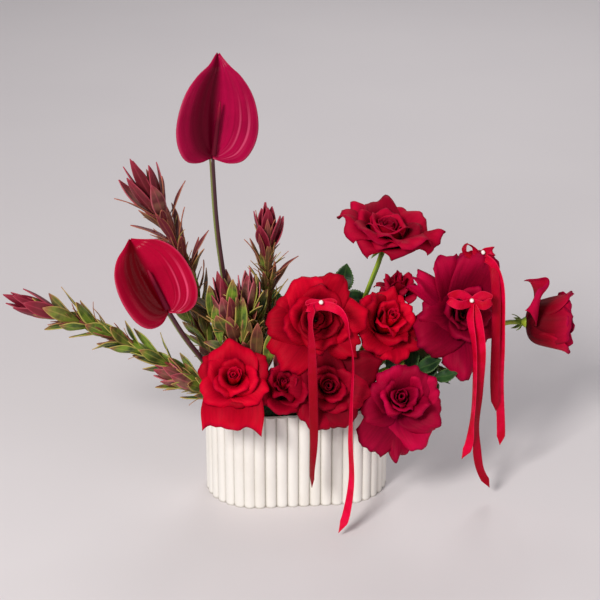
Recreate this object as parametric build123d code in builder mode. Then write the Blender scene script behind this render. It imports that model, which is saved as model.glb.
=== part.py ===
from build123d import *
from math import cos, pi, radians, sin, tan
import os

# A flower box: a fluted ceramic vessel that holds a lift-out liner packed with
# floral foam. Rose, anthurium and leucadendron stems are pushed into the foam,
# and three satin ribbons are pinned to two of the roses with pearl-headed pins.
# Millimetres. +Z is up, +X runs along the vessel, -Y is the front, and the
# origin is the middle of the vessel's flat base.

# ------------------------------------------------------------------ vessel
VESSEL_LENGTH = 215.0
VESSEL_WIDTH = 120.0
VESSEL_HEIGHT = 118.0
VESSEL_WALL = 7.5
VESSEL_FLOOR = 7.0
FLUTE_COUNT = 44
FLUTE_DEPTH = 3.2
RIM_ROUND = 1.5

# --------------------------------------------------------- liner and foam
LINER_GAP = 1.0  # between the liner and the vessel's wall
LINER_WALL = 1.5
LINER_RIM_DROP = 5.0  # how far the liner's rim stays below the vessel's
FOAM_GAP = 0.3
FOAM_PROUD = 9.0  # how far the foam stands above the vessel's rim
FOAM_EDGE = 7.0
FOAM_TOP = VESSEL_HEIGHT + FOAM_PROUD

# ------------------------------------------------------------------- stems
ROSE_STEM_R = 2.7
ANTHURIUM_STEM_R = 3.4
SHOOT_STEM_R = 2.2
LEAF_STALK_R = 1.1
HOLE_CLEARANCE = 0.06
PUSHED_IN = 38.0  # length of a stem inside the foam
LEAF_PUSHED_IN = 18.0
PETAL_THICKNESS = 1.8
LEAF_THICKNESS = 1.2
GOLDEN_ANGLE = 137.5
BEND_SHARE = 0.45

# ---------------------------------------------------- under a rose's bloom
NECK = 22.0  # straight length of stem just under a bloom
RECEPTACLE = 7.0  # height of the swelling that the petals grow from
RECEPTACLE_R = 6.0
SEPAL_COUNT = 5
SEPAL_LENGTH = 20.0
SEPAL_WIDTH = 5.0
SEPAL_DROOP = 18.0  # degrees back along the stem
SEPAL_DROP = 4.0  # below the petals

# -------------------------------------------------------- leaves of shoots
BARE_STEM = 40.0  # of a shoot, above the foam's top
LEAF_SPACING = 11.0
LEAF_LENGTH = 34.0
LEAF_WIDTH = 7.0
LEAF_RISE = 62.0  # degrees from square to the stem
HEAD_LENGTH = 52.0
BRACT_COUNT = 7
BRACT_WIDTH = 12.0
BRACT_RISE = 76.0

# ------------------------------------------------- three-part rose leaves
LEAFLETS = ((-75, 8), (0, 1), (75, 8))  # turn in degrees, distance back from the end
LEAFLET_SHARE = 0.62  # of its length, for its width

# ------------------------------------------------------------------ ribbon
RIBBON_WIDTH = 10.0
RIBBON_THICKNESS = 0.8
PEARL_R = 2.5
PIN_R = 0.45
PIN_LENGTH = 42.0
LOOP_DEPTH = 5.0
LOOP_TILT = 18.0
LOOP_RISE = 3.0  # of the loops' middle above the knot's
KNOT_SIZE = 9.0
KNOT_DEPTH = 5.0
BRIDGE_HEIGHT = 6.0  # of the fold between the knot and a tail
TAIL_BEND = 6.0

# Roses: where the stem enters the foam, where the bloom starts, the way the
# bloom faces, its radius and its height.
ROSES = {
    "tall": ((44, 18), (103, 26, 292), (0.20, -0.14, 0.97), 54, 44),
    "bow": ((12, -6), (19, -33, 228), (0.00, -0.90, 0.43), 46, 42),
    "middle": ((50, -6), (95, -11, 204), (0.38, -0.66, 0.65), 36, 38),
    "rear": ((62, 30), (120, 22, 226), (0.10, -0.10, 0.99), 24, 34),
    "wide": ((66, 6), (190, 2, 213), (0.16, -0.87, 0.43), 54, 44),
    "side": ((86, 20), (269, 0, 200), (0.99, -0.14, 0.02), 34, 56),
    "left": ((-52, -26), (-76, -62, 168), (-0.05, -0.74, 0.67), 38, 42),
    "small": ((-16, -24), (-19, -54, 150), (-0.05, -0.80, 0.60), 21, 38),
    "low": ((16, -30), (28, -60, 156), (0.05, -0.85, 0.52), 29, 32),
    "right": ((66, -26), (111, -62, 134), (0.06, -0.95, 0.30), 42, 40),
}

# Leucadendron shoots: where each enters the foam, and the points it passes.
# The last is the tip of its head of bracts.
SHOOTS = {
    "upper_left": ((-88, 8), ((-126, 20, 285), (-184, 20, 412))),
    "far_left": ((-84, -10), ((-225, -4, 214), (-331, 0, 258))),
    "upper_middle": ((-33, 24), ((-31, 30, 265), (-31, 30, 351))),
    "centre_left": ((-48, -8), ((-76, -20, 215), (-91, -14, 283))),
    "centre_right": ((-44, 4), ((-55, 0, 215), (-56, -4, 283))),
    "lower_left": ((-64, -36), ((-112, -36, 150), (-166, -34, 177))),
    "rear_left": ((-72, 28), ((-108, 62, 182), (-128, 84, 232))),
    "rear_right": ((28, 34), ((42, 64, 172), (54, 84, 218))),
}

# Anthuriums: entry, elbow, the point where the spathe joins, the spathe's long
# axis, the way its face looks, and its length and width.
ANTHURIUMS = {
    "tall": ((-66, 10), (-90, 8, 330), (-93, 10, 412), (0.10, 0.10, 1), (0.28, -1, 0.10), 116, 96),
    "left": ((-74, -24), (-130, -38, 215), (-147, -44, 250), (-0.44, 0.28, 0.9), (0.12, -1, 0.45), 92, 84),
}
SPADIX_R = 3.2
SPADIX_SHARE = 0.54  # of the spathe's length

# Rose leaves on their own stalks, filling between the blooms.
LEAVES = {
    "tall": ((30, 6), (56, 44, 225), 38),
    "right": ((84, -8), (138, -28, 158), 34),
    "rear_middle": ((0, 36), (-14, 74, 176), 46),
    "rear_far": ((54, 41), (96, 72, 178), 44),
    "front": ((88, -16), (158, -40, 152), 28),
}

# Ribbons: the rose each is pinned to, the bow's centre, the loops' width, and
# two tails: a sideways offset, then the (y, z) points that the tail hangs past.
RIBBONS = {
    "front": (
        "bow",
        (20, -80, 270),
        24,
        (
            (-11, ((-100, 222), (-102, 120), (-100, 46))),
            (32, ((-104, 218), (-106, 110), (-118, 2))),
        ),
    ),
    "right": (
        "wide",
        (193, -50, 252),
        22,
        (
            (3, ((-62, 212), (-68, 120), (-62, 54))),
            (14, ((-62, 214), (-66, 110), (-60, 14))),
        ),
    ),
    "top": (
        "wide",
        (208, -25, 297),
        18,
        (
            (18, ((-40, 262), (-42, 180), (-40, 104))),
            (29, ((-38, 262), (-42, 160), (-34, 56))),
        ),
    ),
}

PETAL_RINGS = (  # reach and height of the widest point and of the lip, as shares
    (0.44, 0.28, 0.52, 0.96, 3),
    (0.62, 0.24, 0.80, 0.80, 4),
    (0.78, 0.16, 1.00, 0.42, 5),
)


def unit(vector):
    return Vector(*vector).normalized()


def write(part, name):
    part.label = name
    export_step(part, f"parts/{name}.step")


# ------------------------------------------------------------- the vessel
def fluted_outline(length, width, count, depth):
    """Stations evenly spaced round a slot, as (x, y) with the ribs' radius."""
    straight, radius = length - width, width / 2
    pitch = (2 * straight + 2 * pi * radius) / count
    rib = ((pitch / 2) ** 2 + depth**2) / (2 * depth)
    inner, stations = radius - rib, []
    for i in range(count):
        s = i * pitch
        if s < straight:
            stations.append((s - straight / 2, -inner))
        elif s < straight + pi * radius:
            a = (s - straight) / radius - pi / 2
            stations.append((straight / 2 + inner * cos(a), inner * sin(a)))
        elif s < 2 * straight + pi * radius:
            stations.append((straight / 2 - (s - straight - pi * radius), inner))
        else:
            a = (s - 2 * straight - pi * radius) / radius + pi / 2
            stations.append((-straight / 2 + inner * cos(a), inner * sin(a)))
    return stations, rib


def make_vessel():
    stations, rib = fluted_outline(VESSEL_LENGTH, VESSEL_WIDTH, FLUTE_COUNT, FLUTE_DEPTH)
    root = 2 * FLUTE_DEPTH
    with BuildPart() as vessel:
        with BuildSketch():
            SlotOverall(VESSEL_LENGTH - root, VESSEL_WIDTH - root)
            with Locations(*stations):
                Circle(rib)
        extrude(amount=VESSEL_HEIGHT)
        inner_length = VESSEL_LENGTH - 2 * VESSEL_WALL
        inner_width = VESSEL_WIDTH - 2 * VESSEL_WALL
        with BuildSketch(Plane.XY.offset(VESSEL_FLOOR)):
            SlotOverall(inner_length, inner_width)
        extrude(amount=VESSEL_HEIGHT, mode=Mode.SUBTRACT)
        rim = vessel.faces().sort_by(Axis.Z)[-1]
        fillet(rim.inner_wires()[0].edges(), RIM_ROUND)
    write(vessel.part, "fluted_vessel")


def slot_size(inset):
    return VESSEL_LENGTH - 2 * inset, VESSEL_WIDTH - 2 * inset


def make_liner():
    outer = VESSEL_WALL + LINER_GAP
    height = VESSEL_HEIGHT - LINER_RIM_DROP - VESSEL_FLOOR
    with BuildPart() as liner:
        with BuildSketch(Plane.XY.offset(VESSEL_FLOOR)):
            SlotOverall(*slot_size(outer))
        extrude(amount=height)
        with BuildSketch(Plane.XY.offset(VESSEL_FLOOR + LINER_WALL)):
            SlotOverall(*slot_size(outer + LINER_WALL))
        extrude(amount=height, mode=Mode.SUBTRACT)
    write(liner.part, "liner")


def make_foam(holes):
    """The foam block, with a hole for every stem: (top, direction, radius)."""
    inset = VESSEL_WALL + LINER_GAP + LINER_WALL + FOAM_GAP
    bottom = VESSEL_FLOOR + LINER_WALL
    with BuildPart() as foam:
        with BuildSketch(Plane.XY.offset(bottom)):
            SlotOverall(*slot_size(inset))
        extrude(amount=FOAM_TOP - bottom)
        chamfer(foam.faces().sort_by(Axis.Z)[-1].edges(), FOAM_EDGE)
        for top, direction, radius in holes:
            start = top - direction * (PUSHED_IN + HOLE_CLEARANCE)
            with Locations(Plane(origin=start, z_dir=direction)):
                Cylinder(
                    radius + HOLE_CLEARANCE,
                    2 * PUSHED_IN,
                    align=(Align.CENTER, Align.CENTER, Align.MIN),
                    mode=Mode.SUBTRACT,
                )
    write(foam.part, "foam_block")


# ------------------------------------------------------------------- stems
def entry_point(entry):
    return Vector(entry[0], entry[1], FOAM_TOP)


def stem_path(entry, *points, pushed_in=PUSHED_IN):
    """The direction in the foam, and the line that starts inside the foam."""
    direction = (points[0] - entry).normalized()
    start = entry - direction * pushed_in
    with BuildLine() as line:
        if len(points) == 1:
            Line(start, points[0])
        else:
            FilletPolyline(start, *points, radius=bend_radius(start, *points))
    return direction, line.wires()[0]


def bend_radius(start, corner, end):
    """The widest easy bend at a corner: it uses BEND_SHARE of the shorter run."""
    before, after = corner - start, end - corner
    half_turn = radians(before.get_angle(after)) / 2
    return BEND_SHARE * min(before.length, after.length) / tan(half_turn)


def sweep_round(path, radius):
    with BuildPart() as tube:
        with BuildSketch(Plane(origin=path @ 0, z_dir=path % 0)):
            Circle(radius)
        sweep(path=path)
    return tube.part


# ------------------------------------------------------------------- roses
def petal_ring(plane, radius, height, ring):
    """One ring of petals: a thin revolved cup, slit from its lip into lobes."""
    reach, belly, lip_reach, lip_height, lobes = ring
    t = PETAL_THICKNESS
    out = [
        (5.0, 1.0),
        (radius * reach * 0.8, height * belly * 0.7),
        (radius * reach, height * (belly + lip_height) / 2),
        (radius * lip_reach - t, height * lip_height),
    ]
    back = [(r - 0.8 * t, z + 0.8 * t) for r, z in reversed(out)]
    with BuildPart() as cup:
        with BuildSketch(Plane(plane.origin, x_dir=plane.x_dir, z_dir=-plane.y_dir)):
            with BuildLine():
                Spline(*out)
                Line(out[-1], back[0])
                Spline(*back)
                Line(back[-1], out[0])
            make_face()
        revolve(axis=Axis(plane.origin, plane.z_dir))
        slit = Plane(plane.origin + plane.z_dir * height * (belly + 0.12), z_dir=plane.z_dir)
        with Locations(slit):
            with PolarLocations(radius * lip_reach, lobes, start_angle=36 * lobes):
                Box(
                    radius * lip_reach,
                    radius * 0.10,
                    height,
                    align=(Align.CENTER, Align.CENTER, Align.MIN),
                    mode=Mode.SUBTRACT,
                )
    return cup.part


def make_bloom(name, base, facing, radius, height):
    plane = Plane(origin=base, z_dir=facing)
    rings = [petal_ring(plane, radius, height, ring) for ring in PETAL_RINGS]
    bud = (
        (0, 0),
        (RECEPTACLE_R, 0),
        (radius * 0.24, height * 0.20),
        (radius * 0.30, height * 0.55),
        (radius * 0.20, height * 0.92),
        (0, height),
    )
    with BuildPart() as bloom:
        with BuildSketch(Plane(plane.origin, x_dir=plane.x_dir, z_dir=-plane.y_dir)):
            with BuildLine():
                Polyline(bud[0], bud[1])
                Spline(*bud[1:])
                Line(bud[-1], bud[0])
            make_face()
        revolve(axis=Axis(plane.origin, plane.z_dir))
        add(rings)
    write(bloom.part, f"rose_{name}_bloom")


def make_rose(name, entry, base, facing, radius, height):
    facing, base = unit(facing), Vector(*base)
    elbow = base - facing * NECK
    direction, path = stem_path(entry_point(entry), elbow, base - facing * RECEPTACLE)
    plane = Plane(origin=base, z_dir=facing)
    stalk = sweep_round(path, ROSE_STEM_R)
    sepal = blade(SEPAL_LENGTH, SEPAL_WIDTH)
    root = base - facing * SEPAL_DROP
    turns = [360 / SEPAL_COUNT * i for i in range(SEPAL_COUNT)]
    sepals = [placed(sepal, root, facing, turn, -SEPAL_DROOP) for turn in turns]
    with BuildPart() as stem:
        add(stalk)
        with BuildSketch(plane):
            Circle(RECEPTACLE_R)
        with BuildSketch(plane.offset(-RECEPTACLE)):
            Circle(ROSE_STEM_R + 0.4)
        loft()
        add(sepals)
    write(stem.part, f"rose_{name}_stem")
    make_bloom(name, base, facing, radius, height)
    return entry_point(entry), direction, ROSE_STEM_R


# ---------------------------------------------------------- leafy shoots
def blade(length, width):
    """A lens-shaped leaf lying along +X from the origin, facing +Z."""
    rise = width / 2
    with BuildPart() as leaf:
        with BuildSketch():
            with BuildLine():
                ThreePointArc((0, 0), (length * 0.55, rise), (length, 0))
                ThreePointArc((length, 0), (length * 0.55, -rise), (0, 0))
            make_face()
        extrude(amount=LEAF_THICKNESS / 2, both=True)
    return leaf.part


def make_shoot(name, entry, points):
    """A leucadendron: a stem with a spiral of leaves and a head of bracts."""
    elbow, tip = (Vector(*p) for p in points)
    head = (tip - elbow).normalized()
    neck = tip - head * HEAD_LENGTH
    start = entry_point(entry)
    direction, path = stem_path(start, elbow, neck)
    bare = PUSHED_IN + BARE_STEM
    count = max(3, int((path.length - bare) / LEAF_SPACING))
    leaf, bract = blade(LEAF_LENGTH, LEAF_WIDTH), blade(HEAD_LENGTH, BRACT_WIDTH)
    blades = []
    for i in range(count):
        at = (bare + (path.length - bare - 4) * i / count) / path.length
        blades.append(placed(leaf, path @ at, path % at, i * GOLDEN_ANGLE, LEAF_RISE))
    for i in range(BRACT_COUNT):
        blades.append(placed(bract, neck - head * 2, head, i * GOLDEN_ANGLE, BRACT_RISE))
    stem = sweep_round(path, SHOOT_STEM_R)
    with BuildPart() as shoot:
        add(stem)
        add(blades)
    write(shoot.part, f"leucadendron_{name}")
    return start, direction, SHOOT_STEM_R


def placed(leaf, origin, along, turn, tilt):
    """The blade leaving a stem at origin, turned round it and raised by tilt degrees."""
    frame = Plane(origin=origin, z_dir=along).location
    return frame * Rotation(0, 0, turn) * Rotation(0, -tilt, 0) * leaf


def make_rose_leaf(name, entry, tip_base, size):
    """A stalk with three leaflets."""
    start, joint = entry_point(entry), Vector(*tip_base)
    direction, path = stem_path(start, joint, pushed_in=LEAF_PUSHED_IN)
    leaflet = blade(size, size * LEAFLET_SHARE)
    leaflets = []
    for turn, back in LEAFLETS:
        origin = joint - direction * back
        flat = Plane(origin=origin, x_dir=direction, z_dir=side_of(direction))
        leaflets.append(flat.location * Rotation(0, 0, turn) * leaflet)
    stalk = sweep_round(path, LEAF_STALK_R)
    with BuildPart() as leaf:
        add(stalk)
        add(leaflets)
    write(leaf.part, f"rose_leaf_{name}")
    return start, direction, LEAF_STALK_R


def side_of(direction):
    """The direction square to a stalk that looks most up and to the front."""
    across = direction.cross(Vector(0, -0.6, 0.8))
    return across.cross(direction).normalized()


# -------------------------------------------------------------- anthuriums
def make_anthurium(name, entry, elbow, joint, long_axis, facing, length, width):
    start, joint = entry_point(entry), Vector(*joint)
    up, face = unit(long_axis), unit(facing)
    face = (face - up * face.dot(up)).normalized()
    direction, path = stem_path(start, Vector(*elbow), joint)
    write(sweep_round(path, ANTHURIUM_STEM_R), f"anthurium_{name}_stem")

    plane = Plane(origin=joint + face * (ANTHURIUM_STEM_R + 0.3), x_dir=up, z_dir=face)
    half, lobe = width / 2, length * 0.10
    dish = width * 1.6  # radius of the curve across the spathe
    with BuildPart() as spathe:
        with BuildSketch(plane.offset(-5)):
            with BuildLine():
                side = Spline(
                    (0, 0),
                    (-lobe, half * 0.42),
                    (length * 0.10, half * 0.94),
                    (length * 0.38, half),
                    (length * 0.72, half * 0.56),
                    (length, 0),
                )
                mirror(side, about=Plane.XZ)
            make_face()
        extrude(amount=dish)
        centre = plane.origin + plane.z_dir * dish
        with Locations(Plane(origin=centre, x_dir=plane.y_dir, z_dir=plane.x_dir)):
            Cylinder(dish, 3 * length, mode=Mode.INTERSECT)
            Cylinder(dish - PETAL_THICKNESS, 3 * length, mode=Mode.SUBTRACT)
    write(spathe.part, f"anthurium_{name}_spathe")

    root = plane.origin + plane.z_dir * (PETAL_THICKNESS + 0.2 + SPADIX_R) + up * 5
    spadix_axis = (up + face * 0.12).normalized()
    with BuildPart() as spadix:
        with Locations(Plane(origin=root, z_dir=spadix_axis)):
            Cylinder(
                SPADIX_R,
                length * SPADIX_SHARE,
                align=(Align.CENTER, Align.CENTER, Align.MIN),
            )
        fillet(spadix.edges(), SPADIX_R * 0.45)
    write(spadix.part, f"anthurium_{name}_spadix")
    return start, direction, ANTHURIUM_STEM_R


# ----------------------------------------------------------------- ribbons
def ribbon_strip(x, points):
    """A flat strip that follows points in a plane square to X, centred on x."""
    plane = Plane(origin=(x, 0, 0), x_dir=(0, 1, 0), z_dir=(1, 0, 0))
    with BuildPart() as strip:
        with BuildSketch(plane):
            with BuildLine() as route:
                FilletPolyline(*points, radius=TAIL_BEND)
            trace(route.line, RIBBON_THICKNESS)
        extrude(amount=RIBBON_WIDTH / 2, both=True)
    return strip.part


def make_ribbon(name, centre, loop, tails):
    """A bow of two loops and a knot, with two tails that hang from it."""
    x, y, z = centre
    bars = [ribbon_strip(x + offset, ((y, z), *points)) for offset, points in tails]
    with BuildPart() as ribbon:
        for side in (-1, 1):
            middle = (x + side * (loop + KNOT_SIZE) / 2, y, z + LOOP_RISE)
            with Locations(Location(middle, (0, -side * LOOP_TILT, 0))):
                Box(loop, LOOP_DEPTH, RIBBON_WIDTH)
                Box(
                    loop - 2 * RIBBON_THICKNESS,
                    LOOP_DEPTH - 2 * RIBBON_THICKNESS,
                    RIBBON_WIDTH,
                    mode=Mode.SUBTRACT,
                )
        with Locations(centre):
            Box(KNOT_SIZE, KNOT_DEPTH, KNOT_SIZE)
        for offset, _ in tails:
            with Locations((x + offset / 2, y, z)):
                Box(abs(offset) + RIBBON_WIDTH, 2 * RIBBON_THICKNESS, BRIDGE_HEIGHT)
        add(bars)
    write(ribbon.part, f"ribbon_{name}")


def make_pin(name, centre, target):
    """A straight pin with a pearl head, pushed through the bow towards the target."""
    centre = Vector(*centre)
    inward = (Vector(*target) - centre).normalized()
    head = centre - inward * (KNOT_DEPTH / 2 + PEARL_R)
    with BuildPart() as pin:
        with Locations(head):
            Sphere(PEARL_R)
        with Locations(Plane(origin=head, z_dir=inward)):
            Cylinder(PIN_R, PIN_LENGTH, align=(Align.CENTER, Align.CENTER, Align.MIN))
    write(pin.part, f"pearl_pin_{name}")


def main():
    os.makedirs("parts", exist_ok=True)
    make_vessel()
    make_liner()
    holes = []
    for name, rose in ROSES.items():
        holes.append(make_rose(name, *rose))
    for name, shoot in SHOOTS.items():
        holes.append(make_shoot(name, *shoot))
    for name, anthurium in ANTHURIUMS.items():
        holes.append(make_anthurium(name, *anthurium))
    for name, leaf in LEAVES.items():
        holes.append(make_rose_leaf(name, *leaf))
    make_foam(holes)
    for name, (rose, centre, loop, tails) in RIBBONS.items():
        make_ribbon(name, centre, loop, tails)
        make_pin(name, centre, ROSES[rose][1])


main()
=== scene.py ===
import math

import bpy
import numpy as np
from mathutils import Matrix, Vector


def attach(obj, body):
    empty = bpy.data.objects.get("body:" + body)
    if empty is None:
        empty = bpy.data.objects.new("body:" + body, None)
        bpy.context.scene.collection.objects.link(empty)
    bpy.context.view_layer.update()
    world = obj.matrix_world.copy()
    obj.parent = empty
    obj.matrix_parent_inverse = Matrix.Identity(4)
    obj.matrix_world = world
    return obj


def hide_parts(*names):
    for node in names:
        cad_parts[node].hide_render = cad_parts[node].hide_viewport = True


# A fluted vessel of roses, anthuriums and leucadendron shoots. Sizes are in
# millimetres and are turned into metres where a mesh is made. +Z is up and -Y
# is the front.

MM = 0.001
GOLDEN_ANGLE = math.radians(137.5)  # from each petal or leaf to the next

FOAM_TOP = 127.0
PUSHED_IN = 38.0  # length of a stem inside the foam
LEAF_PUSHED_IN = 18.0
BEND_SHARE = 0.45  # of the shorter straight run, taken up by a stem's bend
STEM_POINTS = 40

NECK = 22.0  # straight length of stem under a bloom
RECEPTACLE = 7.0  # height of the swelling that the petals grow from
ROSE_STEM_RADIUS = 2.7
STEM_IN_FOAM_RADIUS = 2.68
SEPALS = 5

ANTHURIUM_STEM_RADII = (3.38, 3.0)  # at the foot and under the spathe
SPADIX_SHARE = 0.54  # of the spathe's length
SPADIX_RADIUS = 3.1

TWIG_RADII = (2.18, 1.5)
TWIG_POINTS = 120
BRACTS = 9

LEAFLETS = ((-75, 8), (0, 1), (75, 8))  # turn in degrees, distance back from the end
LEAFLET_SHARE = 0.66  # of its length, for its width
LEAF_STALK_RADIUS = 1.08

RIBBON_WIDTH = 10.0
RIBBON_THICKNESS = 0.35
RIBBON_TAPER = 13.0  # length over which a tail narrows to its end
RIBBON_DISH = 0.5
RIBBON_STEP = 1.6  # between points along it
PEARL_RADIUS = 2.5

# The studio is in metres and degrees.
FLOOR_REACH = 12.0
LIT_POINT = (0, 0, 0.2)
CAMERA_AZIMUTH = -5.0
CAMERA_ELEVATION = 24.5
CAMERA_DISTANCE = 2.184
CAMERA_AIM = (0.0042, 0.2174)  # right of and above the origin, as the camera sees it
SENSOR_WIDTH = 36.0
LENS = 109.2

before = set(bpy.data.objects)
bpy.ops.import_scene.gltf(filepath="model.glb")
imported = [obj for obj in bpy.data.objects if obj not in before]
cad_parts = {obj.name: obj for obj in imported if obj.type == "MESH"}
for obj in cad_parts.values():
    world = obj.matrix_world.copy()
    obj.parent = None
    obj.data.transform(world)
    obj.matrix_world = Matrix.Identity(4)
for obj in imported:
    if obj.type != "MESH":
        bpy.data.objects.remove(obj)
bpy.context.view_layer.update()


# --- geometry
def unit(vector):
    vector = np.asarray(vector, float)
    return vector / np.linalg.norm(vector)


def axes_for(facing, up=(0, 0, 1)):
    """Rows are the directions across, up and out for something that faces a way."""
    out = unit(facing)
    across = np.cross(up, out)
    if np.linalg.norm(across) < 1e-3:
        across = np.cross((0, 1, 0), out)
    across = unit(across)
    return np.array([across, np.cross(out, across), out])


def smooth(x):
    x = np.clip(x, 0, 1)
    return x * x * (3 - 2 * x)


def mix(a, b, t):
    return a + (b - a) * t


def run_length(points):
    """The distance along a line from its start to each of its points."""
    steps = np.linalg.norm(np.diff(points[:, :3], axis=0), axis=1)
    return np.concatenate([[0], np.cumsum(steps)])


def evenly_spaced(line, count):
    """The same line with so many points at even distances."""
    at = run_length(line)
    wanted = np.linspace(0, at[-1], count)
    return np.stack([np.interp(wanted, at, column) for column in line.T], axis=1)


def curve_through(points, count):
    """Evenly spaced points on a smooth curve through the given ones."""
    points = np.asarray(points, float)
    ends = np.vstack([2 * points[0] - points[1], points, 2 * points[-1] - points[-2]])
    t = np.linspace(0, 1, 24, endpoint=False)[:, None]
    dense = []
    for i in range(len(points) - 1):
        p0, p1, p2, p3 = ends[i : i + 4]
        square = 2 * p0 - 5 * p1 + 4 * p2 - p3
        cube = 3 * p1 - p0 - 3 * p2 + p3
        dense.append(0.5 * (2 * p1 + (p2 - p0) * t + square * t**2 + cube * t**3))
    return evenly_spaced(np.vstack(dense + [points[-1:]]), count)


def foam_point(entry):
    return np.array([entry[0], entry[1], FOAM_TOP])


def stem_line(entry, elbow, end, count=STEM_POINTS):
    """A stem's line: straight in the foam, one easy bend at the elbow, then straight."""
    entry, elbow, end = foam_point(entry), np.asarray(elbow, float), np.asarray(end, float)
    start = entry - unit(elbow - entry) * PUSHED_IN
    before, after = elbow - start, end - elbow
    reach = BEND_SHARE * min(np.linalg.norm(before), np.linalg.norm(after))
    a, b = elbow - unit(before) * reach, elbow + unit(after) * reach
    t = np.linspace(0, 1, 12)[:, None]
    bend = (1 - t) ** 2 * a + 2 * t * (1 - t) * elbow + t**2 * b
    return evenly_spaced(np.vstack([start[None], bend, end[None]]), count)


class Mesh:
    """Closed thin sheets and tubes gathered into one mesh, with numbers for the material."""

    fields = ("along", "across", "tone", "back")

    def __init__(self):
        self.points, self.faces, self.count = [], [], 0
        self.values = {name: [] for name in self.fields}

    def keep(self, points, faces, **values):
        points = points.reshape(-1, 3)
        for name in self.fields:
            value = np.broadcast_to(values.get(name, 0.0), len(points))
            self.values[name].append(np.array(value, float))
        self.points.append(points)
        self.faces.append(faces + self.count)
        self.count += len(points)

    def sheet(self, grid, thickness, along, across, tone):
        """A grid of points made into a closed sheet of a given thickness."""
        rows, cols = grid.shape[:2]
        normal = np.cross(np.gradient(grid, axis=1), np.gradient(grid, axis=0))
        normal /= np.linalg.norm(normal, axis=2, keepdims=True) + 1e-9
        half = normal * (np.broadcast_to(thickness, (rows, cols))[..., None] / 2)
        front = np.arange(rows * cols).reshape(rows, cols)
        quads = np.stack([front[:-1, :-1], front[:-1, 1:], front[1:, 1:], front[1:, :-1]], axis=-1)
        quads = quads.reshape(-1, 4)
        ring = np.concatenate([front[0, :-1], front[:-1, -1], front[-1, :0:-1], front[:0:-1, 0]])
        after = np.roll(ring, -1)
        shift = rows * cols
        rim = np.stack([ring, ring + shift, after + shift, after], axis=-1)
        faces = np.vstack([quads[:, ::-1], quads + shift, rim[:, ::-1]])
        points = np.concatenate([(grid + half).reshape(-1, 3), (grid - half).reshape(-1, 3)])
        along = np.tile(np.broadcast_to(along, (rows, cols)).ravel(), 2)
        across = np.tile(np.broadcast_to(across, (rows, cols)).ravel(), 2)
        back = np.repeat([0.0, 1.0], shift)
        self.keep(points, faces, along=along, across=across, tone=tone, back=back)

    def tube(self, line, radius, sides=14, tone=0.5, bumps=None):
        """A round tube along a line, closed at its ends. bumps(along, angle) adds to the radius."""
        count = len(line)
        radius = np.broadcast_to(radius, count).astype(float)
        tangent = np.gradient(line, axis=0)
        tangent /= np.linalg.norm(tangent, axis=1, keepdims=True)
        side = np.array([1.0, 0, 0] if abs(tangent[0][0]) < 0.9 else [0, 1.0, 0])
        angle = np.linspace(0, 2 * math.pi, sides, endpoint=False)
        rings = []
        for i in range(count):
            side = unit(side - tangent[i] * (side @ tangent[i]))
            other = np.cross(tangent[i], side)
            reach = radius[i] * np.ones(sides)
            if bumps is not None:
                reach = reach + bumps(i / (count - 1), angle)
            rings.append(
                line[i]
                + reach[:, None] * (np.cos(angle)[:, None] * side + np.sin(angle)[:, None] * other)
            )
        body = np.arange(count * sides).reshape(count, sides)
        nxt = np.roll(body, -1, axis=1)
        faces = np.stack([body[:-1], nxt[:-1], nxt[1:], body[1:]], axis=-1).reshape(-1, 4)
        low, high = count * sides, count * sides + 1
        first = [(low, b, a, a) for a, b in zip(body[0], nxt[0])]
        last = [(high, a, b, b) for a, b in zip(body[-1], nxt[-1])]
        points = np.vstack(rings + [line[:1], line[-1:]])
        along = np.concatenate([np.repeat(np.linspace(0, 1, count), sides), [0, 1]])
        across = np.concatenate([np.tile(np.cos(angle), count), [0, 0]])
        faces = np.vstack([faces, first, last])
        self.keep(points, faces, along=along, across=across, tone=tone)

    def make(self, name, material):
        mesh = bpy.data.meshes.new(name)
        points = np.vstack(self.points) * MM
        faces = [tuple(dict.fromkeys(face)) for face in np.vstack(self.faces).tolist()]
        mesh.from_pydata(points.tolist(), [], faces)
        for field in self.fields:
            data = mesh.attributes.new(field, "FLOAT", "POINT").data
            data.foreach_set("value", np.concatenate(self.values[field]).astype(np.float32))
        mesh.materials.append(material)
        mesh.shade_smooth()
        mesh.update()
        piece = bpy.data.objects.new(name, mesh)
        bpy.context.scene.collection.objects.link(piece)
        return piece


def place(piece, body, slot, *nodes):
    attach(piece, body)
    if nodes:
        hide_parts(*nodes)
    return piece


# --- materials
def tint(red, green, blue):
    """A colour given as on a screen, 0 to 255, in the linear form that shaders use."""
    return tuple(
        c / 12.92 if c <= 0.04045 else ((c + 0.055) / 1.055) ** 2.4
        for c in (red / 255, green / 255, blue / 255)
    ) + (1.0,)


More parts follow.
